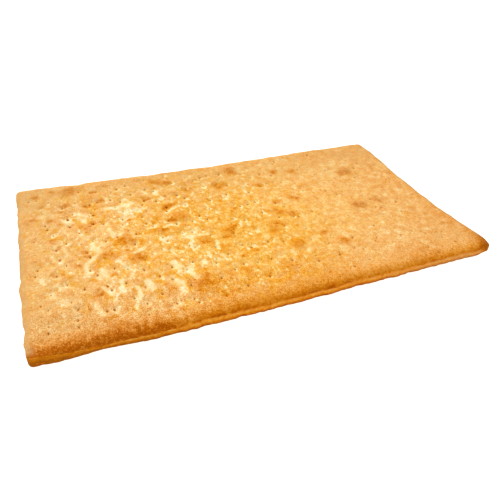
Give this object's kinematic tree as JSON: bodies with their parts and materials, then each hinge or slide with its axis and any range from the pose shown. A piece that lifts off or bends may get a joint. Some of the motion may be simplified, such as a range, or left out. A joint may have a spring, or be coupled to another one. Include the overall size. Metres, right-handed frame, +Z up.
{
  "type": "pizza base",
  "caption": "Rectangular par-baked pizza base: flat docked and blistered crust with a rolled edge, a crease and an upright band below it.",
  "frame": {"origin": "middle of the flat underside", "axes": "+X along the length, +Y from the near long side to the far one, +Z up out of the crust"},
  "size_m": [0.539, 0.3058, 0.0161],
  "materials": {
    "baked_crust": "baked crust, dry and matt"
  },
  "bodies": {
    "root": {"pizza_base": "baked_crust"}
  },
  "joints": []
}
